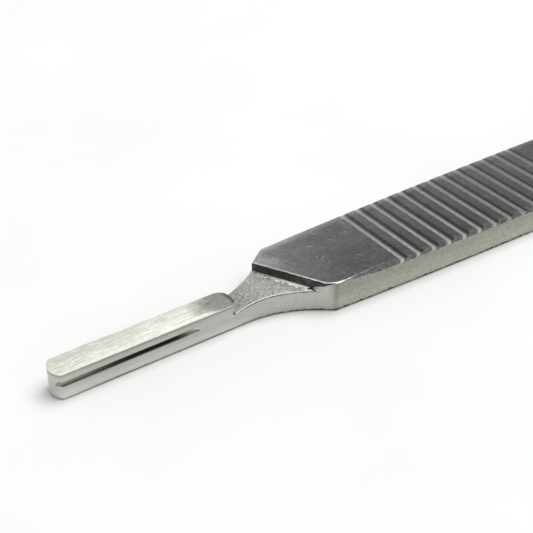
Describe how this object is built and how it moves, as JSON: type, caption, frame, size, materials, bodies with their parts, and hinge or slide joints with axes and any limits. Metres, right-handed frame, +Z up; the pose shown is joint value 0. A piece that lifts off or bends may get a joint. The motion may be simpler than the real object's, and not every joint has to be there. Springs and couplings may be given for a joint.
{
  "type": "scalpel handle",
  "caption": "Flat one-piece steel scalpel handle with a slotted nib for detachable blades, a slanting blade step and a cross-grooved grip.",
  "frame": {"origin": "middle of the underside, at half of the length and on the centre line of the width", "axes": "+X from the nib's tip to the tail, +Y across the handle, +Z up from the underside"},
  "size_m": [0.125, 0.0114, 0.0034],
  "materials": {
    "steel": "satin ground stainless steel, brushed along the nib, matt in the blade seat"
  },
  "bodies": {
    "root": {"handle": "steel"}
  },
  "joints": []
}
